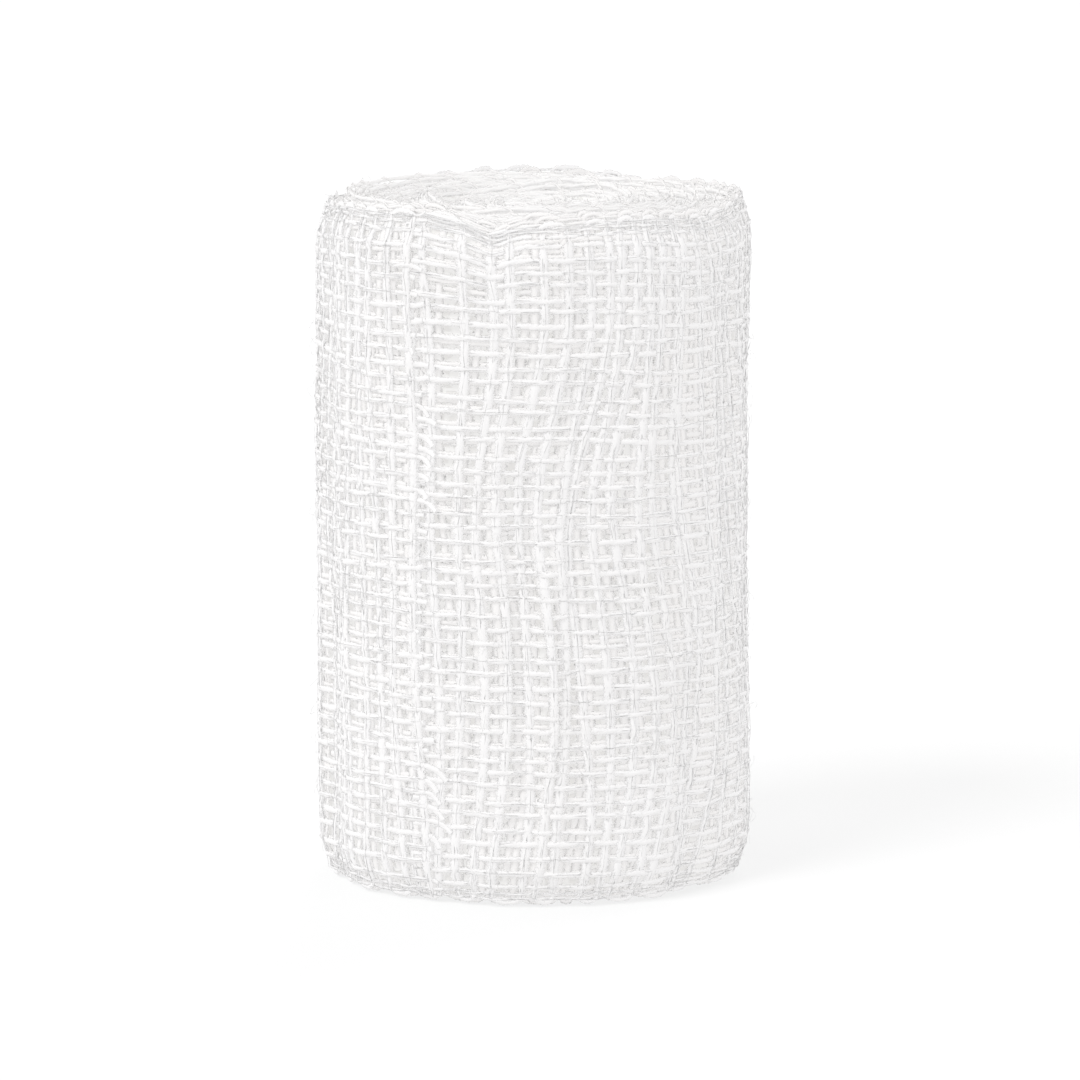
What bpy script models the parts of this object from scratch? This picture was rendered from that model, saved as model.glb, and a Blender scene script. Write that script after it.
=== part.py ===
"""A gauze bandage roll: a strip of open plain weave 4 cm wide, wound on itself without a core.

The roll stands on one end, so its axis is +Z and the strip's width is the roll's height. It is one
solid of the wound form: slightly oval, with the step of the loose end down its side, soft lengthwise
creases, an uneven top edge, and a coil of the main turns pressed into both ends round a small eye.
Angles are in degrees from the front, -Y, growing towards +X. Lengths are in metres.
"""

import math
from collections import namedtuple

import bmesh
import bpy
from mathutils import Matrix, Vector

# Size of the roll.
STRIP_WIDTH = 0.0400
HALF_ACROSS = 0.0128
HALF_DEEP = 0.0126
RIM_ROUNDING = 0.0013
RIM_STEPS = 3

# The loose end of the outer turn: where it lies, and how far it stands off the turn below.
LOOSE_END_ANGLE = -32.5
LOOSE_END_STEP = 0.00040

# The coil on both ends: it starts at the eye and runs out to the loose end. On the top a groove's half
# width is a share of the pitch. On the foot it is a V cut, and the turns stay flat between.
EYE_RADIUS = 0.0012
EYE_DEPTH = 0.0024
EYE_FLOOR_RADIUS = 0.0006
COIL_PITCH = 0.0021
TOP_GROOVE_DEPTH = 0.00045
TOP_GROOVE_SHARE = 0.34
FOOT_GROOVE_DEPTH = 0.00035
FOOT_GROOVE_POINTS = 36

# The turns of the top end don't stand level: their edges drift up and down along the winding, and
# the middle lies a little lower than the rim.
TOP_DISH = 0.0005
Drift = namedtuple("Drift", "height waves_per_turn phase")
TOP_DRIFTS = (
    Drift(height=0.00024, waves_per_turn=0.43, phase=0.6),
    Drift(height=0.00012, waves_per_turn=1.30, phase=2.1),
)

# How finely the roll is turned.
COLUMNS = 72
SIDE_ROWS = 12
TOP_RINGS = 26
FOOT_RINGS = 2
COLUMN_ANGLE = 360.0 / COLUMNS
GATHER = 0.8
SMOOTH_ANGLE = 50.0

# Lengthwise creases of the outer turns. A trough has a positive depth and a ridge a negative one.
Crease = namedtuple("Crease", "angle half_angle low high depth")
CREASES = (
    Crease(angle=-3.0, half_angle=7.0, low=0.001, high=0.027, depth=0.00030),
    Crease(angle=4.5, half_angle=6.0, low=0.000, high=0.026, depth=-0.00018),
    Crease(angle=11.0, half_angle=7.5, low=0.004, high=0.030, depth=0.00032),
    Crease(angle=46.0, half_angle=9.0, low=-0.002, high=0.015, depth=0.00040),
    Crease(angle=63.0, half_angle=11.0, low=0.014, high=0.038, depth=0.00028),
    Crease(angle=104.0, half_angle=10.0, low=0.003, high=0.033, depth=0.00034),
    Crease(angle=151.0, half_angle=9.0, low=0.010, high=0.041, depth=0.00036),
    Crease(angle=172.0, half_angle=12.0, low=-0.003, high=0.022, depth=0.00030),
    Crease(angle=214.0, half_angle=10.0, low=0.006, high=0.036, depth=0.00038),
    Crease(angle=262.0, half_angle=12.0, low=0.012, high=0.042, depth=0.00030),
    Crease(angle=292.0, half_angle=9.0, low=-0.002, high=0.020, depth=0.00034),
)

# How far the top edge of the outer turns stands over or under the strip's width, round the roll.
EdgeLift = namedtuple("EdgeLift", "angle lift")
TOP_EDGE = (
    EdgeLift(angle=-34.0, lift=0.00075),
    EdgeLift(angle=-23.0, lift=0.00030),
    EdgeLift(angle=-11.0, lift=-0.00075),
    EdgeLift(angle=-3.0, lift=-0.00010),
    EdgeLift(angle=20.0, lift=0.00015),
    EdgeLift(angle=58.0, lift=-0.00030),
    EdgeLift(angle=95.0, lift=0.00025),
    EdgeLift(angle=140.0, lift=-0.00020),
    EdgeLift(angle=188.0, lift=0.00035),
    EdgeLift(angle=232.0, lift=-0.00035),
    EdgeLift(angle=275.0, lift=0.00010),
    EdgeLift(angle=305.0, lift=0.00050),
)
EDGE_LIFT_DOWN = 0.0070
EDGE_LIFT_IN = 0.0035

CLOTH_COLOUR = (0.90, 0.89, 0.86, 1.0)
CLOTH_ROUGHNESS = 0.95


def ease(share):
    """0 to 1 with a soft start and end."""
    share = min(max(share, 0.0), 1.0)
    return share * share * (3.0 - 2.0 * share)


def hump(distance, half_width):
    """1 in the middle and 0 from half_width on."""
    return 1.0 - ease(abs(distance) / half_width)


def angle_between(angle, other):
    """Signed degrees from other to angle, the short way round."""
    return (angle - other + 180.0) % 360.0 - 180.0


def end_section(ring_count):
    """Half section of one end as (radius, depth under the end): the eye, the rings of the end and the rim."""
    radius = max(HALF_ACROSS, HALF_DEEP)
    flat_radius = radius - RIM_ROUNDING
    section = [(0.0, EYE_DEPTH), (EYE_FLOOR_RADIUS, EYE_DEPTH), (EYE_RADIUS * 0.92, EYE_DEPTH * 0.45)]
    for ring in range(ring_count + 1):
        section.append((EYE_RADIUS + (flat_radius - EYE_RADIUS) * ring / ring_count, 0.0))
    for step in range(1, RIM_STEPS + 1):
        turn = math.radians(90.0) * step / RIM_STEPS
        section.append((flat_radius + RIM_ROUNDING * math.sin(turn), RIM_ROUNDING * (1.0 - math.cos(turn))))
    return section


def turned_section():
    """Half section as (radius, height): down from the top's eye over the rim and the side to the foot's eye."""
    radius = max(HALF_ACROSS, HALF_DEEP)
    straight = STRIP_WIDTH - 2.0 * RIM_ROUNDING
    top = [(r, STRIP_WIDTH - depth) for r, depth in end_section(TOP_RINGS)]
    side = [(radius, STRIP_WIDTH - RIM_ROUNDING - straight * i / SIDE_ROWS) for i in range(1, SIDE_ROWS)]
    return top + side + end_section(FOOT_RINGS)[::-1]


def wound_share(angle):
    """How much of a turn has gone by since the loose end, 0 just past it and 1 on it."""
    return ((angle - LOOSE_END_ANGLE) % 360.0) / 360.0


def gather_to_loose_end(angle, outward):
    """Draws the two columns beside the loose end together on the side, so that its step is steep."""
    apart = angle_between(angle, LOOSE_END_ANGLE)
    if abs(apart) < COLUMN_ANGLE * 0.75:
        return angle - apart * GATHER * outward
    return angle


def oval_radius(angle):
    """Distance from the axis to the oval outline, before creases and the loose end."""
    turn = math.radians(angle)
    return 1.0 / math.hypot(math.sin(turn) / HALF_ACROSS, math.cos(turn) / HALF_DEEP)


def crease_depth(angle, height):
    total = 0.0
    for crease in CREASES:
        middle = (crease.low + crease.high) / 2.0
        half_length = (crease.high - crease.low) / 2.0
        across = hump(angle_between(angle, crease.angle), crease.half_angle)
        along = 1.0 - ease((abs(height - middle) / half_length - 0.5) / 0.5)
        total += crease.depth * across * along
    return total


def edge_lift(angle):
    """Height of the outer turns' top edge over the strip's width, eased from one row of TOP_EDGE to the next."""
    for i, row in enumerate(TOP_EDGE):
        following = TOP_EDGE[(i + 1) % len(TOP_EDGE)]
        span = (following.angle - row.angle) % 360.0
        gone = (angle - row.angle) % 360.0
        if gone <= span:
            return row.lift + (following.lift - row.lift) * ease(gone / span)
    return 0.0


def grooves_in(radius, angle):
    """How many grooves of the coil lie between the rim and a point of an end, with the share of a turn past the last."""
    rim = oval_radius(angle) - RIM_ROUNDING * 0.5
    return (rim - radius) / COIL_PITCH + wound_share(angle)


def coil_groove(radius, angle):
    """Depth of the groove between the main turns at a point of the top end, from 0 to 1."""
    grooves = grooves_in(radius, angle)
    fade = ease((radius - EYE_RADIUS) / COIL_PITCH)
    return hump(grooves - round(grooves), TOP_GROOVE_SHARE) * fade


def drift_along(turns):
    """How high the strip's edge lies, some turns along the winding from the loose end."""
    waves = (2.0 * math.pi * drift.waves_per_turn * turns + drift.phase for drift in TOP_DRIFTS)
    return sum(drift.height * math.sin(wave) for drift, wave in zip(TOP_DRIFTS, waves))


def coil_drift(radius, angle):
    """Height of the main turn at a point of the top end, stepping in the grooves from one turn to the next."""
    grooves = grooves_in(radius, angle)
    turn = math.floor(grooves)
    past = grooves - turn
    own, outer, inner = (drift_along(turn + 0.5 + i - wound_share(angle)) for i in (0, -1, 1))
    to_outer = 0.5 * hump(past, TOP_GROOVE_SHARE)
    to_inner = 0.5 * hump(1.0 - past, TOP_GROOVE_SHARE)
    return own + (outer - own) * to_outer + (inner - own) * to_inner


def wound(point):
    """Takes a point of the plain turned shape to its place on the wound roll."""
    radius = math.hypot(point.x, point.y)
    height = point.z
    plain_radius = max(HALF_ACROSS, HALF_DEEP)
    outward = ease((radius / plain_radius - 0.6) / 0.4)
    angle = gather_to_loose_end(math.degrees(math.atan2(point.x, -point.y)), outward)
    from_axis = radius * oval_radius(angle) / plain_radius
    from_axis += outward * (LOOSE_END_STEP * (wound_share(angle) - 1.0) - crease_depth(angle, height))

    flat_radius = plain_radius - RIM_ROUNDING
    on_end = radius < flat_radius * 1.0001
    if height > STRIP_WIDTH / 2.0:
        lifted = ease((radius - (plain_radius - EDGE_LIFT_IN)) / EDGE_LIFT_IN)
        lifted *= ease((height - (STRIP_WIDTH - EDGE_LIFT_DOWN)) / EDGE_LIFT_DOWN)
        height += lifted * edge_lift(angle)
        height -= TOP_DISH * (1.0 - ease(radius / plain_radius))
        if on_end:
            between = ease((radius - EYE_RADIUS) / COIL_PITCH) * (1.0 - ease(5.0 * radius / flat_radius - 4.0))
            height += coil_drift(from_axis, angle) * between
            height -= TOP_GROOVE_DEPTH * coil_groove(from_axis, angle)
    turn = math.radians(angle)
    return from_axis * math.sin(turn), -from_axis * math.cos(turn), height


def turned_mesh(name, section):
    """The section turned round the Z axis, as a mesh of its own."""
    mesh = bpy.data.meshes.new(name)
    points = [(radius, 0.0, height) for radius, height in section]
    mesh.from_pydata(points, [(i, i + 1) for i in range(len(points) - 1)], [])
    guide = bpy.data.objects.new(name + "_guide", mesh)
    bpy.context.scene.collection.objects.link(guide)
    screw = guide.modifiers.new("Turn", "SCREW")
    screw.axis = "Z"
    screw.steps = COLUMNS
    screw.render_steps = COLUMNS
    screw.use_merge_vertices = True
    screw.merge_threshold = 0.00001
    bpy.context.view_layer.update()
    turned = bpy.data.meshes.new_from_object(guide.evaluated_get(bpy.context.evaluated_depsgraph_get()))
    turned.name = name
    bpy.data.objects.remove(guide)
    bpy.data.meshes.remove(mesh)
    return turned


def cloth_material(name):
    material = bpy.data.materials.new(name)
    material.use_nodes = True
    shader = material.node_tree.nodes["Principled BSDF"]
    shader.inputs["Base Color"].default_value = CLOTH_COLOUR
    shader.inputs["Roughness"].default_value = CLOTH_ROUGHNESS
    shader.inputs["Metallic"].default_value = 0.0
    return material


def foot_groove_points():
    """Points of the foot's groove: it leaves the rim at the loose end and winds in to the eye."""
    start = -0.06
    turns = (max(HALF_ACROSS, HALF_DEEP) - RIM_ROUNDING - EYE_RADIUS) / COIL_PITCH - 0.35
    count = round((turns - start) * FOOT_GROOVE_POINTS)
    points = []
    for i in range(count + 1):
        turn = start + (turns - start) * i / count
        angle = LOOSE_END_ANGLE - 360.0 * turn
        radius = oval_radius(angle) - RIM_ROUNDING * 0.5 - COIL_PITCH * turn
        points.append((radius * math.sin(math.radians(angle)), -radius * math.cos(math.radians(angle)), 0.0))
    return points


def groove_cutter(name, points):
    """A bar of four sides along the points, half of which lies in the foot, as a closed mesh object."""
    curve = bpy.data.curves.new(name + "_path", "CURVE")
    curve.dimensions = "3D"
    curve.bevel_depth = FOOT_GROOVE_DEPTH
    curve.bevel_resolution = 0
    curve.use_fill_caps = True
    spline = curve.splines.new("POLY")
    spline.points.add(len(points) - 1)
    for target, point in zip(spline.points, points):
        target.co = (*point, 1.0)
    guide = bpy.data.objects.new(name + "_path", curve)
    bpy.context.scene.collection.objects.link(guide)
    bpy.context.view_layer.update()
    mesh = bpy.data.meshes.new_from_object(guide.evaluated_get(bpy.context.evaluated_depsgraph_get()))
    bpy.data.objects.remove(guide)
    bpy.data.curves.remove(curve)
    welded = bmesh.new()
    welded.from_mesh(mesh)
    bmesh.ops.remove_doubles(welded, verts=welded.verts, dist=0.000001)
    bmesh.ops.recalc_face_normals(welded, faces=welded.faces)
    welded.to_mesh(mesh)
    welded.free()
    cutter = bpy.data.objects.new(name, mesh)
    cutter.hide_render = True
    cutter.display_type = "WIRE"
    return cutter


def box_shift(mesh):
    """How far the middle of the mesh's box lies from the Z axis, and its lowest point from Z = 0."""
    xs, ys, zs = zip(*(tuple(vertex.co) for vertex in mesh.vertices))
    return Vector(((max(xs) + min(xs)) / 2.0, (max(ys) + min(ys)) / 2.0, min(zs)))


def build():
    for old in list(bpy.data.objects):
        bpy.data.objects.remove(old, do_unlink=True)
    collection = bpy.data.collections.new("gauze_bandage_roll")
    bpy.context.scene.collection.children.link(collection)
    cutters = bpy.data.collections.new("cutters")
    bpy.context.scene.collection.children.link(cutters)

    mesh = turned_mesh("gauze_roll", turned_section())
    for vertex in mesh.vertices:
        vertex.co = wound(vertex.co)
    shift = box_shift(mesh)
    mesh.transform(Matrix.Translation(-shift))
    mesh.shade_smooth()
    mesh.set_sharp_from_angle(angle=math.radians(SMOOTH_ANGLE))
    mesh.materials.clear()
    mesh.materials.append(cloth_material("gauze"))
    roll = bpy.data.objects.new("gauze_roll", mesh)
    collection.objects.link(roll)

    cutter = groove_cutter("foot_groove", foot_groove_points())
    cutter.location = -shift
    cutters.objects.link(cutter)
    groove = roll.modifiers.new("Foot groove", "BOOLEAN")
    groove.operation = "DIFFERENCE"
    groove.solver = "EXACT"
    groove.object = cutter


build()
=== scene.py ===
"""Looks of a gauze bandage roll that stands on one end.

The outer turns are woven yarn by yarn: yarns round the roll, and a weft that goes to and fro between
the woven edges. Both ends show the woven edge of every turn, coiled in to the eye. All of it lies on
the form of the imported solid. Lengths are in metres, and angles in degrees from the front, -Y,
growing towards +X. A place on the strip is given by the turns wound in from the loose end, and the
distance across from the foot.
"""

import math
from collections import namedtuple

import bpy
import numpy as np
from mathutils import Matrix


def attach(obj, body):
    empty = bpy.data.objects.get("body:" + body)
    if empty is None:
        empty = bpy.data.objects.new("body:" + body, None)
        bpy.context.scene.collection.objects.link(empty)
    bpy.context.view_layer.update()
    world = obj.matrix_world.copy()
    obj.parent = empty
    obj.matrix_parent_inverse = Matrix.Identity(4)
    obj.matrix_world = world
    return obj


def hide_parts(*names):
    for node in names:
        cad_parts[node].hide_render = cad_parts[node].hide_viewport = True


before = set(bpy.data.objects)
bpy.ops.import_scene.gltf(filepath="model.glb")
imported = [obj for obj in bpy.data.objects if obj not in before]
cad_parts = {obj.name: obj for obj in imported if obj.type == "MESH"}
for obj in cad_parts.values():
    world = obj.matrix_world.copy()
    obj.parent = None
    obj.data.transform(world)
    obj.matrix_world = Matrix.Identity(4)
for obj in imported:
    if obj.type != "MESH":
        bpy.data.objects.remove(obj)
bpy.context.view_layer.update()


def table(kind, *rows):
    """Rows of named values, each row in the order of its kind's names."""
    return [kind(*row) for row in rows]


# --- The roll's form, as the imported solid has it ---

STRIP_WIDTH = 0.0400
HALF_ACROSS = 0.0128
HALF_DEEP = 0.0126
MEAN_RADIUS = (HALF_ACROSS + HALF_DEEP) / 2.0
CIRCUMFERENCE = 2.0 * math.pi * MEAN_RADIUS
RIM_ROUNDING = 0.0013
LOOSE_END_ANGLE = -32.5
EYE_RADIUS = 0.0012
COIL_PITCH = 0.0021
TOP_GROOVE_DEPTH = 0.00045
TOP_GROOVE_SHARE = 0.34
TOP_DISH = 0.0005
EYE_DEPTH = 0.0024
EYE_FLOOR_RADIUS = 0.0006
TOP_DRIFTS = table(
    namedtuple("Drift", "height waves_per_turn phase"),
    (0.00024, 0.43, 0.6),
    (0.00012, 1.30, 2.1),
)
CREASES = table(
    namedtuple("Crease", "angle half_angle low high depth"),
    (-3.0, 7.0, 0.001, 0.027, 0.00030),
    (4.5, 6.0, 0.000, 0.026, -0.00018),
    (11.0, 7.5, 0.004, 0.030, 0.00032),
    (46.0, 9.0, -0.002, 0.015, 0.00040),
    (63.0, 11.0, 0.014, 0.038, 0.00028),
    (104.0, 10.0, 0.003, 0.033, 0.00034),
    (151.0, 9.0, 0.010, 0.041, 0.00036),
    (172.0, 12.0, -0.003, 0.022, 0.00030),
    (214.0, 10.0, 0.006, 0.036, 0.00038),
    (262.0, 12.0, 0.012, 0.042, 0.00030),
    (292.0, 9.0, -0.002, 0.020, 0.00034),
)
TOP_EDGE = table(
    namedtuple("EdgeLift", "angle lift"),
    (-34.0, 0.00075),
    (-23.0, 0.00030),
    (-11.0, -0.00075),
    (-3.0, -0.00010),
    (20.0, 0.00015),
    (58.0, -0.00030),
    (95.0, 0.00025),
    (140.0, -0.00020),
    (188.0, 0.00035),
    (232.0, -0.00035),
    (275.0, 0.00010),
    (305.0, 0.00050),
)
EDGE_LIFT_DOWN = 0.0070
EDGE_LIFT_IN = 0.0035

# --- The yarns and their cotton ---

Yarn = namedtuple("Yarn", "width flatness crimp unevenness wander")
ROUND_YARN = Yarn(width=0.00043, flatness=0.38, crimp=0.000075, unevenness=0.9, wander=0.00012)
WEFT = Yarn(width=0.00075, flatness=0.17, crimp=0.00004, unevenness=0.9, wander=0.00012)
EDGE_YARN = Yarn(width=0.00024, flatness=0.6, crimp=0.0, unevenness=1.2, wander=0.00009)
WEFT_LOOP = Yarn(width=0.00020, flatness=0.45, crimp=0.0, unevenness=1.2, wander=0.00012)
INNER_END_YARN = EDGE_YARN._replace(crimp=0.00006, unevenness=1.0, wander=0.0001)
STRAY_FIBRE = Yarn(width=0.000026, flatness=1.0, crimp=0.0, unevenness=0.8, wander=0.0007)
LINT_FIBRE = Yarn(width=0.000018, flatness=1.0, crimp=0.0, unevenness=0.3, wander=0.00015)
WIDTH_SPREAD = (0.85, 1.15)
RANDOM_SEED = 4021
TURN_SEED_STEP = 3.7
SLUB_SEED_SHIFT = 17.0

# Scales of the noise, in waves to the metre.
WANDER_SCALE = 700.0
SLUB_SCALE = 420.0
SHADE_SCALE = 260.0
FIBRE_SCALE = 9000.0
TUFT_SCALE = 5200.0
PACKED_WANDER_SCALE = 420.0
PACKED_FIBRE_SCALE = 6000.0

# What the noise adds to reliefs, ragged sides and the drawn weave.
FIBRE_RELIEF = 0.7
TUFT_REACH = 1.5
PACKED_WANDER = 9.0
PACKED_FIBRE_RELIEF = 0.8
YARN_SHEEN = {"Sheen Weight": 0.4, "Sheen Roughness": 0.5}
YARN_LOOK = {"Roughness": 0.78, "Specular IOR Level": 0.22, **YARN_SHEEN}
YARN_BUMP = {"Strength": 0.6, "Distance": 0.00005}
PACKED_LOOK = {"Roughness": 0.85, "Specular IOR Level": 0.15}
PACKED_BUMP = {"Strength": 0.5, "Distance": 0.00008}

# --- The weave: yarns round the roll, and wefts that go up and down across it ---

ROUND_YARN_PITCH = 0.00083
INNER_ROUND_YARNS = 45
EDGE_YARNS = np.array([0.00016, 0.00046, 0.00088])
WEFT_PITCH = 0.00125
WEFTS_PER_TURN = round(CIRCUMFERENCE / WEFT_PITCH)
EDGE_TIGHTNESS = 0.55
TIGHT_TO = 0.0002
TIGHT_FADE = 0.0012

# Where a weft turns back, it goes over to the next one past the woven edge.
LOOP_HEIGHT = 0.00006
TURN_BACK_ALONG = np.array([0.2, 0.5, 0.8])
TURN_BACK_BEYOND = np.array([0.2, 1.0, 0.2])
TURN_BACK_OVER = np.array([0.6, 0.0, -0.6])

# How slack the yarns are: the wefts in pitches and the round yarns in metres. A reach is the
# number of yarns over which a random bend holds.
FULL_PHASE = 6.3
WEAVE_BOW = 0.5
WEAVE_BOW_WAVES = 1.3
WEAVE_DRAW = 0.35
WEAVE_DRAW_WAVES = table(
    namedtuple("DrawWave", "waves phase"),
    (1.0, 0.0),
    (2.0, 0.8),
    (3.0, 2.0),
)
WEFT_SLACK = 0.16
WEFT_SLACK_REACH = 6.0
WEFT_UNEVENNESS = 0.13
WEFT_UNEVENNESS_REACH = 0.6
TURN_DRIFT = 0.30
ROUND_YARN_SLACK = 0.00010
ROUND_YARN_SLACK_REACH = 3.0
SLACK_AT_EDGE = 0.2
ROUND_YARN_SWAY = 0.00022
TURN_SWAY = 0.00008
SWAY_REACH = 9.0
GATHER = 0.40
GATHER_REACH = 1.7
DRAGS = table(
    namedtuple("Drag", "angle half_angle low high shift"),
    (0.0, 52.0, 0.0205, 0.0345, 0.0026),
    (70.0, 34.0, 0.018, 0.006, 0.0012),
    (138.0, 46.0, 0.014, 0.030, -0.0020),
    (206.0, 40.0, 0.020, 0.008, -0.0016),
    (276.0, 42.0, 0.022, 0.036, 0.0015),
)

# --- How the strip is wound in ---

WOVEN_TURNS = 3
TURN_GAP = 0.00016
FINE_TURN_GAP = 0.00018
MOST_TURNS = 90
FINE_STEP = 0.02
FOOT_CLEARANCE = 0.00034
SIDE_CLEARANCE = 0.00014
EDGE_LEAN = 0.00055
EDGE_LEAN_REACH = 0.0022
EDGE_LEAN_SLOPE = 0.45
EVEN_CORE = 0.6
RIDGE_LOSS_AT_RIM = 0.7
EDGE_WAVES = table(
    namedtuple("EdgeWave", "waves_per_turn phase"),
    (0.71, 0.3),
    (2.3, 1.1),
    (5.9, 4.0),
)
EDGE_WAVE_HEIGHT = 0.00010
FOOT_WAVE_RATE = 1.7
PROUD_TURNS = table(
    namedtuple("Proud", "turns reach height"),
    (7.2, 0.30, 0.00035),
    (14.6, 0.22, 0.00045),
    (21.3, 0.35, 0.00030),
    (33.1, 0.30, 0.00040),
    (47.5, 0.40, 0.00030),
)
PUCKERS = table(
    namedtuple("Pucker", "waves_round waves_up phase height"),
    (5, 21.0, 0.4, 0.00008),
    (9, -34.0, 2.9, 0.00006),
    (16, 12.0, 4.1, 0.00006),
    (27, -9.0, 1.3, 0.00004),
)
RIDGES = table(
    namedtuple("Ridge", "width waves_round phase height"),
    (0.0009, 1, 0.2, 0.00009),
    (0.0013, -2, 1.9, 0.00009),
    (0.0021, 2, 3.3, 0.00012),
    (0.0035, -1, 5.0, 0.00012),
)

# --- The cut end: free yarn ends past the last weft, which curl in two places ---

CURLED_ENDS = ((0.0030, 0.0085), (0.0235, 0.0295))
FREE_END_STEPS = 5
FREE_END_ROOT = 8
FREE_LENGTHS = (0.0003, 0.0012)
CURLED_LENGTHS = (0.0012, 0.0023)
FREE_SPREAD = 0.00012
CURLED_DROPS = (0.0002, 0.0009)
CURL_BACK = 0.25
FREE_END_LOWEST = 0.0002
FREE_END_FALL = 0.00008
FALL_SHARES = (0.2, 1.0)
FALL_START = 0.0001
LIFTED_SHARE = 0.25
LIFTED_HEIGHT = 0.0004

# --- The coiled edges, and the inner end in the eye ---

EDGE_STEP = 0.00042
FOOT_EDGE_STEP = 0.00055
EDGE_ROW_GAP = 0.00042
FIRST_ROW_DOWN = EDGE_YARN.width * 0.55
LOOP_UNEVENNESS = 0.12
LOOP_UNEVENNESS_REACH = 0.5
LOOP_LENGTHS = (0.85, 1.25)

# A loop over the edge yarn: along to the next weft, down from the edge, and out of the cloth.
LOOP_ALONG = np.array([0.0, 0.05, 0.22, 0.5, 0.78, 0.95, 1.0])
LOOP_BELOW = np.array([0.00075, 0.00032, 0.00008, -0.00003, 0.00008, 0.00032, 0.00075])
LOOP_OFF = np.array([0.00005, 0.00008, 0.00008, 0.0, -0.00008, -0.00008, -0.00005])

INNER_END_TURNS = 1.35
INNER_END_RADIUS = 0.00042
INNER_END_ROWS = 6
INNER_END_SINK = 0.00012
INNER_END_STEPS = 56
STEPS_PER_CHECK = 4
INNER_WEFT_STEPS = slice(2, None, 5)

# --- The body under them, the loose fibres and the lint ---

BODY_COLUMN = 2.5
BODY_END_RINGS = 26
BODY_SIDE_ROWS = 40
BODY_UNDER_SIDE = 0.00011
BODY_UNDER_TOP = 0.00034
BODY_OVER_FOOT = 0.00060
BODY_TOP_BEND = 0.0012
BODY_FOOT_BEND = 0.0014
BODY_PUCKER = 0.8
BODY_FOOT_RINGS = (1.0, 0.66, 0.33, 0.1)
EYE_RINGS = table(
    namedtuple("EyeRing", "radius up"),
    (EYE_FLOOR_RADIUS, 0.0),
    (EYE_RADIUS * 0.8, EYE_DEPTH * 0.15),
    (EYE_RADIUS, EYE_DEPTH * 0.65),
)
EYE_MOUTH = EYE_RADIUS * 1.15
STRAY_STRANDS = 4
STRAY_LIFT = 0.00008
STRAND_STEP = 1.7
SIDE_FIBRES = 1400
TOP_FIBRES = 350
LINT_STEPS = 5
LINT_BEND = 1.6
LINT_ARCH = (0.4, 1.0)
LINT_OFF = 0.00012
LINT_END_STEP = 0.0005
SIDE_LINT_LENGTHS = (0.0004, 0.0016)
SIDE_LINT_RISES = (-0.05, 0.35)
SIDE_LINT_STARTS = (0.0006, STRIP_WIDTH - 0.0004)
SIDE_LINT_REACH = (0.0003, STRIP_WIDTH - 0.0001)
TOP_LINT_LENGTHS = (0.0003, 0.0012)
TOP_LINT_RISES = (0.05, 0.5)

# --- Camera, light and floor ---

CAMERA_SENSOR = 36.0
CAMERA_LENS = 234.7
CAMERA_SHIFT = 0.0065
CAMERA_ELEVATION = 9.3
CAMERA_DISTANCE = 0.415
CAMERA_TARGET = np.array([0.0, 0.0, 0.0196])
NEAREST_SEEN = 0.01
FLOOR_HALF = 6.0
FLOOR_LOOK = {"Base Color": (0.93, 0.93, 0.93, 1.0), "Roughness": 0.9, "Specular IOR Level": 0.2}
WORLD_LIGHT = {"Color": (1.0, 1.0, 1.0, 1.0), "Strength": 0.77}

# What light the shade between the yarns is filled with, after the first bounce.
FILL_DISTANCE = 0.00003
FILL_FACTOR = 1.45
FILL_BOUNCES = 1
CLEAR_BOUNCES = 24

EXPOSURE = -0.35
SUNS = table(
    namedtuple("Sun", "name azimuth elevation strength softness"),
    ("key", -46.0, 42.0, 0.78, 30.0),
    ("right", 60.0, 24.0, 0.24, 50.0),
    ("back", 155.0, 28.0, 0.6, 50.0),
    ("left", 245.0, 24.0, 0.35, 50.0),
)

# --- Form ---


def ease(share):
    """0 to 1 with a soft start and end."""
    share = np.clip(share, 0.0, 1.0)
    return share * share * (3.0 - 2.0 * share)


def hump(distance, half_width):
    """1 in the middle and 0 from half_width on."""
    return 1.0 - ease(np.abs(distance) / half_width)


def angle_between(angle, other):
    """Signed degrees from other to angle, the short way round."""
    return (angle - other + 180.0) % 360.0 - 180.0


def wound_share(angle):
    """How much of a turn has gone by since the loose end."""
    return ((angle - LOOSE_END_ANGLE) % 360.0) / 360.0


def oval_radius(angle):
    """Distance from the axis to the plain oval of the roll."""
    turn = np.radians(angle)
    return 1.0 / np.hypot(np.sin(turn) / HALF_ACROSS, np.cos(turn) / HALF_DEEP)


def along_crease(crease, height):
    """1 over the middle half of a crease's length, and 0 from its ends on."""
    middle = (crease.low + crease.high) / 2.0
    half_length = (crease.high - crease.low) / 2.0
    return 1.0 - ease((np.abs(height - middle) / half_length - 0.5) / 0.5)


def crease_depth(angle, height):
    """How deep the creases are pressed into the side."""
    total = np.zeros(np.broadcast(angle, height).shape)
    for crease in CREASES:
        across = hump(angle_between(angle, crease.angle), crease.half_angle)
        total = total + crease.depth * across * along_crease(crease, height)
    return total


def edge_lift(angle):
    """Height of the outer turns' top edge over the strip's width."""
    gone = (np.asarray(angle, float) - TOP_EDGE[0].angle) % 360.0
    lift = np.zeros(gone.shape)
    for i, row in enumerate(TOP_EDGE):
        following = TOP_EDGE[(i + 1) % len(TOP_EDGE)]
        start = (row.angle - TOP_EDGE[0].angle) % 360.0
        span = (following.angle - row.angle) % 360.0
        here = (gone >= start) & (gone < start + span)
        between = row.lift + (following.lift - row.lift) * ease((gone - start) / span)
        lift = np.where(here, between, lift)
    return lift


def drift_along(turns):
    """How far the top end rises and dips on its way in along the main turns."""
    return sum(
        drift.height * np.sin(2.0 * math.pi * drift.waves_per_turn * turns + drift.phase)
        for drift in TOP_DRIFTS
    )


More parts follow.
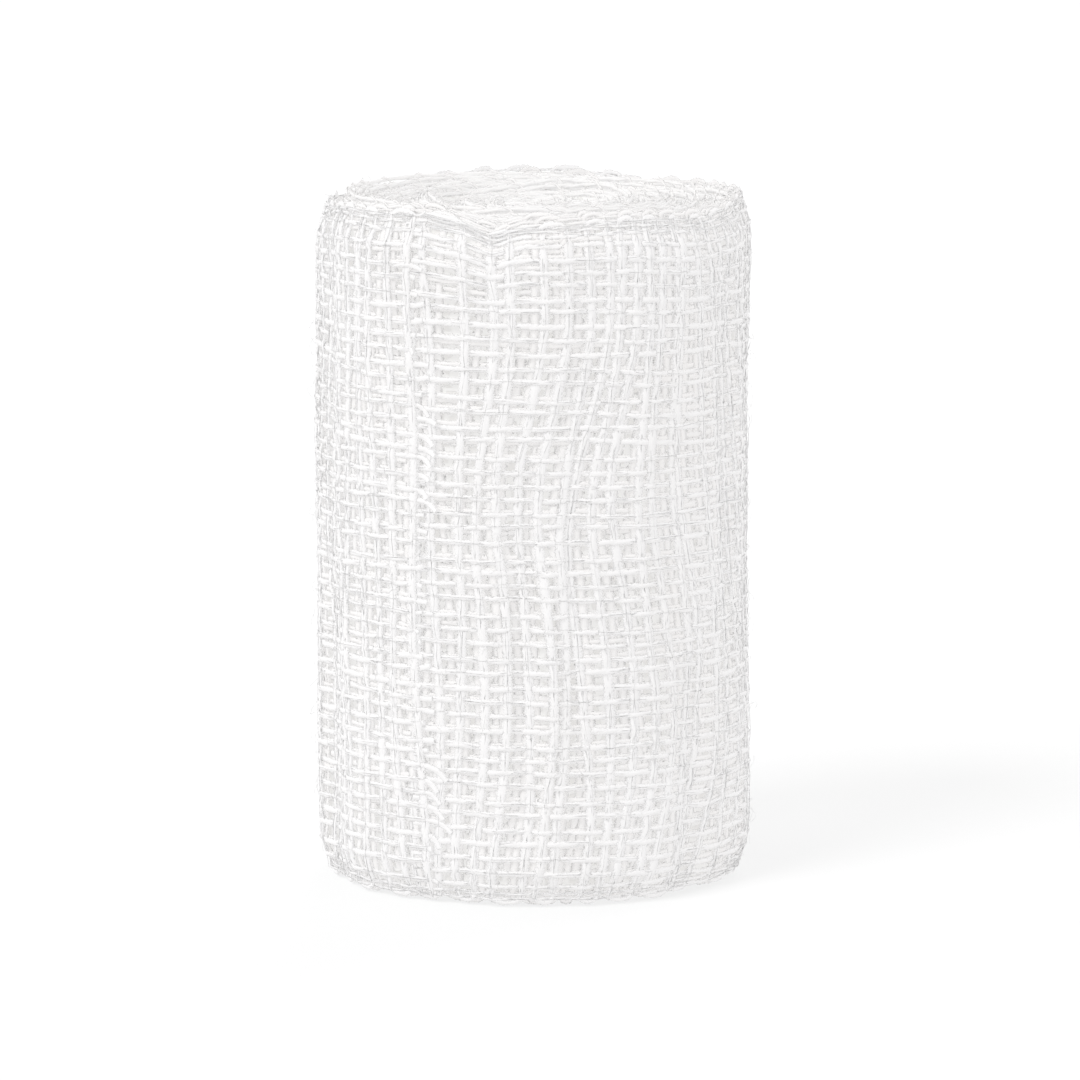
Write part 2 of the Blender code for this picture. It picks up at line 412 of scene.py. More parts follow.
def top_height(radius, angle):
    """Height of the solid's top end at a point, with its main turns and its lifted rim."""
    plain_radius = max(HALF_ACROSS, HALF_DEEP)
    flat_radius = plain_radius - RIM_ROUNDING
    plain = radius / oval_radius(angle) * plain_radius
    grooves = (oval_radius(angle) - RIM_ROUNDING * 0.5 - radius) / COIL_PITCH + wound_share(angle)
    turn = np.floor(grooves)
    past = grooves - turn
    own, outer, inner = (drift_along(turn + 0.5 + i - wound_share(angle)) for i in (0, -1, 1))
    drift = own + (outer - own) * 0.5 * hump(past, TOP_GROOVE_SHARE)
    drift = drift + (inner - own) * 0.5 * hump(1.0 - past, TOP_GROOVE_SHARE)
    from_eye = ease((radius - EYE_RADIUS) / COIL_PITCH)
    drift = drift * from_eye * (1.0 - ease(5.0 * plain / flat_radius - 4.0))
    groove = hump(grooves - np.round(grooves), TOP_GROOVE_SHARE) * from_eye
    dish = TOP_DISH * (1.0 - ease(plain / plain_radius))
    lift = edge_lift(angle) * ease((plain - plain_radius + EDGE_LIFT_IN) / EDGE_LIFT_IN)
    return STRIP_WIDTH + drift + lift - TOP_GROOVE_DEPTH * groove - dish


def side_radius(angle, height):
    """Distance from the axis to the outermost turn, as it is at its loose end."""
    return oval_radius(angle) - crease_depth(angle, height)


def outline_middle():
    """Middle of the roll's outline seen from above, which stands on the Z axis."""
    angle, height = np.meshgrid(np.arange(0.0, 360.0, 0.5), np.linspace(0.0, STRIP_WIDTH, 81))
    radius = side_radius(angle, height) + TURN_GAP * (wound_share(angle) - 1.0)
    x = radius * np.sin(np.radians(angle))
    y = -radius * np.cos(np.radians(angle))
    return (x.max() + x.min()) / 2.0, (y.max() + y.min()) / 2.0


MIDDLE = outline_middle()


def placed(angle, radius, height):
    """Points in the frame from their angle, radius and height."""
    turn = np.radians(angle)
    x = radius * np.sin(turn) - MIDDLE[0]
    y = -radius * np.cos(turn) - MIDDLE[1]
    return np.stack(np.broadcast_arrays(x, y, height), axis=-1)


def outward(angle, rise):
    """Unit vectors out of the cloth, tilted up by rise."""
    turn = np.radians(angle)
    x, y, z = np.broadcast_arrays(np.sin(turn), -np.cos(turn), rise)
    vectors = np.stack([x, y, z], axis=-1)
    return vectors / np.linalg.norm(vectors, axis=-1, keepdims=True)


def slack(rng, shape, reach):
    """Random numbers of about unit size, smooth along the last axis over reach samples."""
    count = shape[-1]
    half = max(1, int(reach * 2))
    weights = np.exp(-0.5 * (np.arange(-half, half + 1) / max(reach, 0.5)) ** 2)
    weights /= np.sqrt((weights**2).sum())
    rough = rng.standard_normal((*shape[:-1], count + 2 * half))
    flat = rough.reshape(-1, count + 2 * half)
    smooth = np.stack([np.convolve(row, weights, mode="valid") for row in flat])
    return smooth.reshape(shape)


# --- Nodes and objects ---

FLOAT, COLOUR, GEOMETRY = "NodeSocketFloat", "NodeSocketColor", "NodeSocketGeometry"


class Nodes:
    """Short ways to make and link the nodes of a tree."""

    def __init__(self, tree):
        self.tree = tree

    def give(self, node, inputs):
        """Fills inputs by name or number, each from another node's output or with a plain value."""
        for key, value in inputs.items():
            if isinstance(value, bpy.types.NodeSocket):
                self.tree.links.new(value, node.inputs[key])
            else:
                node.inputs[key].default_value = value

    def new(self, kind, inputs=None, **settings):
        """A node with these settings and inputs."""
        node = self.tree.nodes.new(kind)
        for key, value in settings.items():
            setattr(node, key, value)
        self.give(node, inputs or {})
        return node

    def maths(self, operation, *values):
        """The result of a sum, for numbers and outputs."""
        return self.new("ShaderNodeMath", dict(enumerate(values)), operation=operation).outputs[0]

    def noise(self, scale, detail, place, roughness=0.5):
        """Soft noise of 0 to 1 at a place."""
        inputs = {"Scale": scale, "Detail": detail, "Roughness": roughness, "Vector": place}
        return self.new("ShaderNodeTexNoise", inputs).outputs["Fac"]

    def blend(self, share, first, second):
        """The first colour, turned into the second by the share."""
        inputs = {"Factor": share, "A": first, "B": second}
        return self.new("ShaderNodeMix", inputs, data_type="RGBA").outputs["Result"]


def new_group(name, kind, inputs, outputs):
    """An empty group with named inputs and outputs: its nodes, its given values and its results."""
    tree = bpy.data.node_groups.new(name, kind)
    for label, (socket_type, value) in inputs.items():
        socket = tree.interface.new_socket(label, in_out="INPUT", socket_type=socket_type)
        if value is not None:
            socket.default_value = value
    for label, socket_type in outputs.items():
        tree.interface.new_socket(label, in_out="OUTPUT", socket_type=socket_type)
    nodes = Nodes(tree)
    return nodes, nodes.new("NodeGroupInput").outputs, nodes.new("NodeGroupOutput")


def in_scene(name, data):
    """An object of this data, put into the scene."""
    made = bpy.data.objects.new(name, data)
    bpy.context.scene.collection.objects.link(made)
    return made


class Paths:
    """Yarn paths, gathered into one mesh of edges with what the yarns need at each point."""

    def __init__(self):
        self.points, self.out, self.edges = [], [], []
        self.over, self.half_width, self.along, self.strand = [], [], [], []
        self.count = 0

    def add(self, points, out, over, width, strand=0.0):
        """Adds one path. What is the same all along it can be given once."""
        length = len(points)
        steps = np.linalg.norm(np.diff(points, axis=0), axis=1)
        self.points.append(points)
        self.out.append(np.broadcast_to(out, (length, 3)))
        self.over.append(np.broadcast_to(over, (length,)))
        self.half_width.append(np.broadcast_to(width, (length,)) / 2.0)
        self.along.append(np.concatenate([[0.0], np.cumsum(steps)]))
        self.strand.append(np.broadcast_to(strand, (length,)))
        first = np.arange(self.count, self.count + length - 1)
        self.edges.append(np.stack([first, first + 1], axis=1))
        self.count += length

    def mesh(self, name):
        """All the paths as one mesh, with their values as attributes."""
        mesh = bpy.data.meshes.new(name + "_paths")
        points = np.concatenate(self.points).astype(np.float32)
        edges = np.concatenate(self.edges).astype(np.int32)
        mesh.vertices.add(len(points))
        mesh.vertices.foreach_set("co", points.ravel())
        mesh.edges.add(len(edges))
        mesh.edges.foreach_set("vertices", edges.ravel())
        out = mesh.attributes.new("out", "FLOAT_VECTOR", "POINT")
        out.data.foreach_set("vector", np.concatenate(self.out).astype(np.float32).ravel())
        for key in ("over", "half_width", "along", "strand"):
            values = getattr(self, key)
            layer = mesh.attributes.new(key, "FLOAT", "POINT")
            layer.data.foreach_set("value", np.concatenate(values).astype(np.float32))
        mesh.update()
        return mesh


def yarn_tree():
    """Geometry nodes that spin a crimped, flattened and uneven yarn along each path."""
    inputs = {
        "Paths": (GEOMETRY, None),
        "Crimp": (FLOAT, 0.0),
        "Flatness": (FLOAT, 1.0),
        "Sides": ("NodeSocketInt", 6),
        "Unevenness": (FLOAT, 1.0),
        "Wander": (FLOAT, 0.0),
        "Seed": (FLOAT, 0.0),
        "Cotton": ("NodeSocketMaterial", None),
    }
    outputs = {"Yarns": GEOMETRY}
    nodes, given, result = new_group("Yarns on paths", "GeometryNodeTree", inputs, outputs)

    def shaped(kind, inputs, **settings):
        return nodes.new(kind, inputs, **settings).outputs[0]

    def named(name, data_type="FLOAT"):
        made = nodes.new("GeometryNodeInputNamedAttribute", {"Name": name}, data_type=data_type)
        return made.outputs["Attribute"]

    def vectors(operation, inputs):
        return nodes.new("ShaderNodeVectorMath", inputs, operation=operation).outputs["Vector"]

    def noise(scale, detail, seed):
        inputs = {"Scale": scale, "Detail": detail, "W": seed}
        return nodes.new("ShaderNodeTexNoise", inputs, noise_dimensions="4D").outputs

    # Over and under the yarns that cross it, and a little out of line.
    out = named("out", "FLOAT_VECTOR")
    crimp = nodes.maths("MULTIPLY", named("over"), given["Crimp"])
    wander = noise(WANDER_SCALE, 1.0, nodes.maths("ADD", named("strand"), given["Seed"]))
    centred = vectors("SUBTRACT", {0: wander["Color"], 1: (0.5, 0.5, 0.5)})
    moved = vectors("SCALE", {0: out, "Scale": crimp})
    strayed = vectors("SCALE", {0: centred, "Scale": given["Wander"]})
    offset = vectors("ADD", {0: moved, 1: strayed})
    place = shaped("GeometryNodeSetPosition", {"Geometry": given["Paths"], "Offset": offset})
    curve = shaped("GeometryNodeMeshToCurve", {"Mesh": place})
    curve = shaped("GeometryNodeSetCurveNormal", {"Curve": curve, "Normal": out}, mode="FREE")

    # Thick and thin places along the yarn.
    slubs = noise(SLUB_SCALE, 2.0, nodes.maths("ADD", given["Seed"], SLUB_SEED_SHIFT))
    spread = nodes.maths("MULTIPLY", nodes.maths("SUBTRACT", slubs["Fac"], 0.5), given["Unevenness"])
    radius = nodes.maths("MULTIPLY", nodes.maths("ADD", spread, 1.0), named("half_width"))

    # A round section that keeps its own places as "around", and is then flattened.
    circle = {"Radius": 1.0, "Resolution": given["Sides"]}
    section = shaped("GeometryNodeCurvePrimitiveCircle", circle)
    position = nodes.new("GeometryNodeInputPosition").outputs["Position"]
    kept = {"Geometry": section, "Name": "around", "Value": position}
    section = shaped("GeometryNodeStoreNamedAttribute", kept, data_type="FLOAT_VECTOR")
    scale = nodes.new("ShaderNodeCombineXYZ", {"X": given["Flatness"], "Y": 1.0, "Z": 1.0})
    pressed = {"Geometry": section, "Scale": scale.outputs["Vector"]}
    section = shaped("GeometryNodeTransform", pressed)

    spun = {"Curve": curve, "Profile Curve": section, "Scale": radius, "Fill Caps": True}
    yarns = shaped("GeometryNodeCurveToMesh", spun)
    yarns = shaped("GeometryNodeSetShadeSmooth", {"Geometry": yarns})
    yarns = shaped("GeometryNodeRealizeInstances", {"Geometry": yarns})
    yarns = shaped("GeometryNodeSetMaterial", {"Geometry": yarns, "Material": given["Cotton"]})
    nodes.give(result, {"Yarns": yarns})
    return nodes.tree


YARN_TREE = yarn_tree()


def spin(name, paths, cotton, yarn, sides, seed):
    """Makes yarns of one kind along the paths, as one plain mesh object."""
    source = in_scene(name + "_source", paths.mesh(name))
    modifier = source.modifiers.new("Yarns", "NODES")
    modifier.node_group = YARN_TREE
    values = {"Crimp": yarn.crimp, "Flatness": yarn.flatness, "Unevenness": yarn.unevenness}
    values |= {"Wander": yarn.wander, "Sides": sides, "Seed": seed, "Cotton": cotton}
    for item in YARN_TREE.interface.items_tree:
        if item.in_out == "INPUT" and item.name in values:
            modifier[item.identifier] = values[item.name]
    bpy.context.view_layer.update()
    graph = bpy.context.evaluated_depsgraph_get()
    mesh = bpy.data.meshes.new_from_object(source.evaluated_get(graph), depsgraph=graph)
    mesh.name = name
    old = source.data
    bpy.data.objects.remove(source)
    bpy.data.meshes.remove(old)
    return in_scene(name, mesh)


def joined(first, second):
    """The first piece, with the second one added to it."""
    both = [first, second]
    chosen = {"selected_objects": both, "selected_editable_objects": both}
    with bpy.context.temp_override(active_object=first, object=first, **chosen):
        bpy.ops.object.join()
    return first


# --- Materials ---


def cotton_group():
    """Shade of cotton in warm drifts, relief of its plies, and cover of its ragged sides."""
    inputs = {
        "Clean": (COLOUR, (0.93, 0.92, 0.90, 1.0)),
        "Warm": (COLOUR, (0.88, 0.85, 0.79, 1.0)),
        "Warm Share": (FLOAT, 0.4),
        "Plies": (FLOAT, 2600.0),
    }
    outputs = {"Shade": COLOUR, "Relief": FLOAT, "Cover": FLOAT}
    nodes, given, result = new_group("Cotton twist", "ShaderNodeTree", inputs, outputs)
    place = nodes.new("ShaderNodeTexCoord").outputs["Object"]
    share = nodes.maths("MULTIPLY", nodes.noise(SHADE_SCALE, 3.0, place), given["Warm Share"])
    shade = nodes.blend(share, given["Clean"], given["Warm"])

    # The section turns as it goes along, so that its two plies wind round each other.
    along = nodes.new("ShaderNodeAttribute", attribute_name="along").outputs["Fac"]
    around = nodes.new("ShaderNodeAttribute", attribute_name="around").outputs["Vector"]
    turn = {"Vector": around, "Angle": nodes.maths("MULTIPLY", along, given["Plies"])}
    turned = nodes.new("ShaderNodeVectorRotate", turn, rotation_type="Z_AXIS").outputs["Vector"]
    ply = nodes.maths("ABSOLUTE", nodes.new("ShaderNodeSeparateXYZ", {0: turned}).outputs["X"])
    relief = nodes.maths("MULTIPLY_ADD", nodes.noise(FIBRE_SCALE, 2.0, place), FIBRE_RELIEF, ply)

    # The fibres thin out towards both sides of the yarn.
    aside = nodes.maths("ABSOLUTE", nodes.new("ShaderNodeSeparateXYZ", {0: around}).outputs["Y"])
    tufts = nodes.noise(TUFT_SCALE, 3.0, place, roughness=0.6)
    ragged = nodes.maths("MULTIPLY_ADD", tufts, TUFT_REACH, aside)
    bounds = {"Value": ragged, "From Min": 1.30, "From Max": 1.55, "To Min": 1.0, "To Max": 0.0}
    cover = nodes.new("ShaderNodeMapRange", bounds).outputs["Result"]
    nodes.give(result, {"Shade": shade, "Relief": relief, "Cover": cover})
    return nodes.tree


def packed_group():
    """Shade and height of the turns below the woven ones: the same open weave, drawn on the form,
    with painted shade in the gaps between its yarns.
    """
    inputs = {
        "Yarn": (COLOUR, (0.95, 0.94, 0.93, 1.0)),
        # The darker colour is painted shade for the gaps between the drawn yarns.
        "Painted Shade Between": (COLOUR, (0.885, 0.87, 0.855, 1.0)),
    }
    outputs = {"Shade": COLOUR, "Relief": FLOAT}
    nodes, given, result = new_group("Packed turns", "ShaderNodeTree", inputs, outputs)
    maths = nodes.maths
    place = nodes.new("ShaderNodeTexCoord").outputs["Object"]
    apart = nodes.new("ShaderNodeSeparateXYZ", {0: place}).outputs
    wander = nodes.noise(PACKED_WANDER_SCALE, 3.0, place)
    strayed = maths("MULTIPLY", maths("SUBTRACT", wander, 0.5), PACKED_WANDER)
    round_turn = maths("ARCTAN2", apart["X"], maths("MULTIPLY", apart["Y"], -1.0))
    wefts = maths("MULTIPLY_ADD", round_turn, MEAN_RADIUS * math.pi / WEFT_PITCH, strayed)
    rounds = maths("MULTIPLY_ADD", apart["Z"], math.pi / ROUND_YARN_PITCH, strayed)
    height = maths("MAXIMUM", *(maths("ABSOLUTE", maths("SINE", way)) for way in (wefts, rounds)))
    bounds = {"Value": height, "From Min": 0.55, "From Max": 0.92}
    step = nodes.new("ShaderNodeMapRange", bounds, interpolation_type="SMOOTHSTEP")
    on_yarn = step.outputs["Result"]
    # The gaps between the drawn yarns get the darker colour: painted shade, where little light
    # reaches the turns below.
    shade = nodes.blend(on_yarn, given["Painted Shade Between"], given["Yarn"])
    fibres = nodes.noise(PACKED_FIBRE_SCALE, 3.0, place)
    relief = maths("MULTIPLY_ADD", fibres, PACKED_FIBRE_RELIEF, on_yarn)
    nodes.give(result, {"Shade": shade, "Relief": relief})
    return nodes.tree


def matt(name, look):
    """A plain material, set as its look says: the material, its nodes and its shader."""
    material = bpy.data.materials.new(name)
    material.use_nodes = True
    nodes, shader = Nodes(material.node_tree), material.node_tree.nodes["Principled BSDF"]
    nodes.give(shader, look)
    return material, nodes, shader


def cotton_material(name, group, values, look, bump, fuzzy=False):
    """A matt cotton with the shade and relief of a group. A fuzzy one thins out at its sides."""
    material, nodes, shader = matt(name, look)
    drawn = nodes.new("ShaderNodeGroup", node_tree=group)
    nodes.give(drawn, values)
    raised = nodes.new("ShaderNodeBump", {"Height": drawn.outputs["Relief"], **bump})
    nodes.give(shader, {"Base Color": drawn.outputs["Shade"], "Normal": raised.outputs["Normal"]})
    if fuzzy:
        nodes.give(shader, {"Alpha": drawn.outputs["Cover"]})
    return material


COTTON_TWIST = cotton_group()


def yarn_cotton(name, clean, warm, warm_share, fuzzy):
    """The cotton of a yarn, with a faint glint."""
    values = {"Clean": (*clean, 1.0), "Warm": (*warm, 1.0), "Warm Share": warm_share}
    return cotton_material(name, COTTON_TWIST, values, YARN_LOOK, YARN_BUMP, fuzzy)


OUTER_COTTON = yarn_cotton("outer_cotton", (0.972, 0.964, 0.970), (0.955, 0.936, 0.925), 0.5, True)
# A darker, warmer copy of the outer cotton: painted shade on the turns under the outer one, also
# used for the weft loops.
SHADED_COTTON = yarn_cotton("shaded_cotton", (0.965, 0.954, 0.956), (0.94, 0.915, 0.898), 0.7, True)
EDGE_COTTON = yarn_cotton("edge_cotton", (0.968, 0.960, 0.962), (0.945, 0.925, 0.910), 0.7, False)
# Cotton of the packed turns: a drawn weave with painted shade between its yarns.
PACKED_COTTON = cotton_material("packed_cotton", packed_group(), {}, PACKED_LOOK, PACKED_BUMP)


# --- The strip of gauze, wound in ---


def pucker(angle, height):
    """How far the cloth stands out where it is slack."""
    turn = np.radians(angle)
    return sum(
        fold.height
        * np.sin(fold.waves_round * turn + 2.0 * math.pi * fold.waves_up * height + fold.phase)
        for fold in PUCKERS
    )


def ridge(radius, angle):
    """How far bands of neighbouring turns stand out of an end."""
    turn = np.radians(angle)
    return sum(
        band.height
        * np.sin(2.0 * math.pi * radius / band.width + band.waves_round * turn + band.phase)
        for band in RIDGES
    )


def edge_wander(turns):
    """How far the strip's edge strays, from the turns wound in."""
    first, second, third = (
        np.sin(turns * 2.0 * math.pi * wave.waves_per_turn + wave.phase) for wave in EDGE_WAVES
    )
    return EDGE_WAVE_HEIGHT * (first + second * third)


def near_edge(across):
    """1 at both woven edges, and 0 from the reach of their lean on."""
    return 1.0 - ease(np.minimum(across, STRIP_WIDTH - across) / EDGE_LEAN_REACH)


def strip_place(turns, across):
    """Angle, radius and height of the strip, from the turns wound in and the distance across."""
    angle = LOOSE_END_ANGLE - 360.0 * turns
    woven = np.clip(turns, 0.0, WOVEN_TURNS)
    fine = np.maximum(turns - WOVEN_TURNS, 0.0)
    oval = oval_radius(angle)
    plain = oval - SIDE_CLEARANCE - TURN_GAP * woven - FINE_TURN_GAP * fine
    outer = ease((plain / oval - EVEN_CORE) / (1.0 - EVEN_CORE))
    lean = EDGE_LEAN * near_edge(across)
    radius = plain - lean + outer * (pucker(angle, across) - crease_depth(angle, across))
    ridges = ridge(plain, angle) * (1.0 - RIDGE_LOSS_AT_RIM * outer)
    top = top_height(plain - EDGE_LEAN, angle) + ridges + edge_wander(turns)
    lifted = (top - STRIP_WIDTH) * ease((across - STRIP_WIDTH + EDGE_LIFT_DOWN) / EDGE_LIFT_DOWN)
    height = FOOT_CLEARANCE + across * (1.0 - FOOT_CLEARANCE / STRIP_WIDTH) + lifted
    return angle, radius, height


def on_strip(turns, across, off=0.0):
    """Points on the strip or off it, and vectors out of the cloth."""
    angle, radius, height = strip_place(turns, across)
    leaning = EDGE_LEAN_SLOPE * near_edge(across)
    rise = np.where(across > STRIP_WIDTH / 2.0, leaning, -leaning)
    out = outward(angle, rise)
    return placed(angle, radius, height) + out * np.asarray(off)[..., None], out


# --- The woven outer turns ---


def round_yarn_places():
    """Distances of the round yarns from the foot: they lie closer together in the woven edges."""
    lowest = EDGE_YARNS[-1] + ROUND_YARN_PITCH
    highest = STRIP_WIDTH - EDGE_YARNS[-1] - ROUND_YARN_PITCH
    inner = np.linspace(lowest, highest, INNER_ROUND_YARNS)
    return np.concatenate([EDGE_YARNS, inner, STRIP_WIDTH - EDGE_YARNS[::-1]])


def halved(values):
    """The values with their means put in between, along the first axis."""
    out = np.empty((2 * len(values) - 1, *values.shape[1:]))
    out[0::2] = values
    out[1::2] = (values[1:] + values[:-1]) / 2.0
    return out


def every_other(values):
    """The values with noughts put in between, along the first axis."""
    out = np.zeros(2 * len(values) - 1)
    out[0::2] = values
    return out


def swayed(rng, share, count, height):
    """Slow waves of the round yarns, which differ from the foot to the top."""
    low, middle, high = (slack(rng, (count,), SWAY_REACH)[:, None] * height for _ in range(3))
    return low * (1.0 - share) + middle * np.sin(math.pi * share) + high * share


def weave_pattern(rng, places):
    """How all turns are drawn out of square: the wefts in pitches, the round yarns in metres."""
    share = (places / STRIP_WIDTH)[None, :]
    count = WEFTS_PER_TURN + 1
    bow = np.sin(share * math.pi * WEAVE_BOW_WAVES + rng.uniform(0.0, FULL_PHASE)) * WEAVE_BOW
    drawn = sum(
        WEAVE_DRAW
        * slack(rng, (1, count), WEFT_SLACK_REACH)[0][:, None]
        * np.sin(math.pi * wave.waves * share + wave.phase)
        for wave in WEAVE_DRAW_WAVES
    )
    return bow + drawn, swayed(rng, share, count, ROUND_YARN_SWAY)


def pulled(turns, across):
    """Turns wound in, once the wefts are gathered in the creases and dragged askew."""
    angle = LOOSE_END_ANGLE - 360.0 * turns
    shift = np.zeros(angle.shape)
    for crease in CREASES:
        gone = angle_between(angle, crease.angle)
        near = hump(gone, GATHER_REACH * crease.half_angle)
        shift -= GATHER * gone * near * along_crease(crease, across)
    for drag in DRAGS:
        share = ease((across - drag.low) / (drag.high - drag.low))
        dragged = np.degrees(drag.shift / MEAN_RADIUS) * share
        shift += dragged * hump(angle_between(angle, drag.angle), drag.half_angle)
    return turns - shift / 360.0


def crossings(rng, turn_number, pattern):
    """Where the wefts and the round yarns of one turn cross: turns wound in, and distance across.

    Both are arrays of weft by round yarn. Each yarn is slack in its own way, on top of the pattern
    that all turns share.
    """
    places = round_yarn_places()
    share = (places / STRIP_WIDTH)[None, :]
    drawn, sway = pattern
    count = WEFTS_PER_TURN + 1
    steady = ((np.arange(count) + 0.5) / WEFTS_PER_TURN)[:, None]
    uneven = slack(rng, (count,), WEFT_UNEVENNESS_REACH)[:, None] * WEFT_UNEVENNESS
    own = slack(rng, (count, len(places)), WEFT_SLACK_REACH) * WEFT_SLACK
    drift = slack(rng, (count,), SWAY_REACH)[:, None] * TURN_DRIFT * min(turn_number, 1)
    turns = turn_number + steady + (drawn + drift + uneven + own) / WEFTS_PER_TURN

    inside = 1.0 - near_edge(places)[None, :]
    held = SLACK_AT_EDGE + (1.0 - SLACK_AT_EDGE) * inside
    own = slack(rng, (len(places), count), ROUND_YARN_SLACK_REACH).T * ROUND_YARN_SLACK * held
    across = places[None, :] + own + (sway + swayed(rng, share, count, TURN_SWAY)) * inside
    return pulled(turns, across), across


def held_tight(across):
    """Share of a yarn's width that is left near the woven edges, where the weft pulls tight."""
    from_edge = np.minimum(across, STRIP_WIDTH - across)
    return EDGE_TIGHTNESS + (1.0 - EDGE_TIGHTNESS) * ease((from_edge - TIGHT_TO) / TIGHT_FADE)


def frayed(rng, turns, across, over):
    """Lengthens a round yarn past the last weft by a free end, which falls on the turn below."""
    start = across[0]
    curled = any(low < start < high for low, high in CURLED_ENDS)
    length = rng.uniform(*(CURLED_LENGTHS if curled else FREE_LENGTHS))
    drop = rng.uniform(*CURLED_DROPS) if curled else rng.normal(0.0, FREE_SPREAD)
    to_tip = np.arange(FREE_END_STEPS, 0, -1) / FREE_END_STEPS
    reach = to_tip * (1.0 - CURL_BACK * to_tip * curled)
    new_turns = turns[0] - reach * length / CIRCUMFERENCE
    new_across = np.maximum(start - drop * to_tip**2, FREE_END_LOWEST)
    all_turns = np.concatenate([new_turns, turns])
    gone = (turns[FREE_END_ROOT] - all_turns) * CIRCUMFERENCE
    off = -rng.uniform(*FALL_SHARES) * FREE_END_FALL * ease(gone / (gone[0] + FALL_START))
    lifted = rng.uniform(0.0, LIFTED_HEIGHT) if rng.random() < LIFTED_SHARE else 0.0
    off[:FREE_END_STEPS] += lifted * to_tip**2
    new_over = np.zeros(FREE_END_STEPS)
    return all_turns, np.concatenate([new_across, across]), np.concatenate([new_over, over]), off


def round_yarn_paths(turn_number, turns, across, parity, rng):
    """Paths of the yarns round the roll, over one weft and under the next."""
    paths = Paths()
    for yarn in range(turns.shape[1]):
        one_turns, one_across = halved(turns[:, yarn]), halved(across[:, yarn])
        over, off = every_other(parity[:, yarn]), 0.0
        if turn_number == 0:
            one_turns, one_across, over, off = frayed(rng, one_turns, one_across, over)
        points, out = on_strip(one_turns, one_across, off)
        width = ROUND_YARN.width * held_tight(one_across) * rng.uniform(*WIDTH_SPREAD)
        paths.add(points, out, over, width)
    return paths


def weft_path(turns, across, parity):
    """The weft's one path, up and down between the woven edges, where it turns back."""
    wefts = len(turns)
    weft_turns, weft_across, weft_over = [], [], []
    for weft in range(wefts):
        upward = weft % 2 == 0
        order = slice(None) if upward else slice(None, None, -1)
        last = -1 if upward else 0
        edge, beyond = (STRIP_WIDTH, LOOP_HEIGHT) if upward else (0.0, -LOOP_HEIGHT)
        over = every_other(-parity[weft][order])
        weft_turns.append(halved(turns[weft][order]))
        weft_across.append(halved(across[weft][order]))
        weft_over.append(over)
        if weft + 1 < wefts:
            step = turns[weft + 1, last] - turns[weft, last]
            weft_turns.append(turns[weft, last] + step * TURN_BACK_ALONG)
            weft_across.append(edge + beyond * TURN_BACK_BEYOND)
            weft_over.append(over[-1] * TURN_BACK_OVER)
    all_across = np.concatenate(weft_across)
    points, out = on_strip(np.concatenate(weft_turns), all_across)
    path = Paths()
    path.add(points, out, np.concatenate(weft_over), WEFT.width * held_tight(all_across))
    return path


def woven_turn(name, turn_number, turns, across, rng, cotton, sides):
    """One turn of the strip, yarn by yarn."""
    wefts, rounds = turns.shape
    checks = np.arange(wefts)[:, None] + np.arange(rounds)[None, :]
    parity = np.where(checks % 2 == 0, 1.0, -1.0)
    round_paths = round_yarn_paths(turn_number, turns, across, parity, rng)
    seed = TURN_SEED_STEP * turn_number
    yarns = spin(name, round_paths, cotton, ROUND_YARN, sides, seed)
    weft = spin(name + "_weft", weft_path(turns, across, parity), cotton, WEFT, sides, seed)
    return joined(yarns, weft)


# --- The ends, where every turn shows its woven edge ---


def turns_at_steps(step):
    """Turns wound in, at even steps along the strip, from the last woven turn to the eye."""
    fine = np.arange(float(WOVEN_TURNS), float(MOST_TURNS), FINE_STEP)
    _, radius, _ = strip_place(fine, np.full(fine.shape, STRIP_WIDTH))
    fine, radius = fine[radius > EYE_RADIUS], radius[radius > EYE_RADIUS]
    gone = np.concatenate([[0.0], np.cumsum(2.0 * math.pi * radius[1:] * np.diff(fine))])
    return np.interp(np.linspace(0.0, gone[-1], int(gone[-1] / step)), gone, fine)


def proud(turns):
    """How far single turns stand out of the top."""
    return sum(one.height * hump(turns - one.turns, one.reach) for one in PROUD_TURNS)


def end_place(turns, below, top):
    """Points at an end, so many turns in and so far from the woven edge, and vectors out."""
    if top:
        points, out = on_strip(turns, np.full(turns.shape, STRIP_WIDTH))
        points[:, 2] += proud(turns) - below
    else:
        points, out = on_strip(turns, np.zeros(turns.shape))
        points[:, 2] += np.abs(edge_wander(turns * FOOT_WAVE_RATE)) + below
    out = out * np.array([1.0, 1.0, 0.0])
    return points, out / np.linalg.norm(out, axis=-1, keepdims=True)


def edge_yarns(name, top, rows, step, sides, cotton, seed):
    """The round yarns next to the strip's edge, in every turn of an end."""
    turns = turns_at_steps(step)
    paths = Paths()
    for row in range(rows):
        points, out = end_place(turns, FIRST_ROW_DOWN + row * EDGE_ROW_GAP, top)
        paths.add(points, out, 0.0, EDGE_YARN.width)
    return spin(name, paths, cotton, EDGE_YARN, sides, seed)


def weft_loops(name, top, sides, rng, cotton, seed):
    """The wefts that turn back over the edge yarn, in every turn of an end."""
    turns = turns_at_steps(WEFT_PITCH)
    uneven = slack(rng, turns.shape, LOOP_UNEVENNESS_REACH) * LOOP_UNEVENNESS
    turns = turns + uneven * np.gradient(turns)
    paths = Paths()
    for first in range(0 if top else 1, len(turns) - 1, 2):
        here = turns[first] + LOOP_ALONG * (turns[first + 1] - turns[first])
        points, out = end_place(here, LOOP_BELOW * rng.uniform(*LOOP_LENGTHS), top)
        paths.add(points + out * LOOP_OFF[:, None], out, 0.0, WEFT_LOOP.width)
    return spin(name, paths, cotton, WEFT_LOOP, sides, seed)


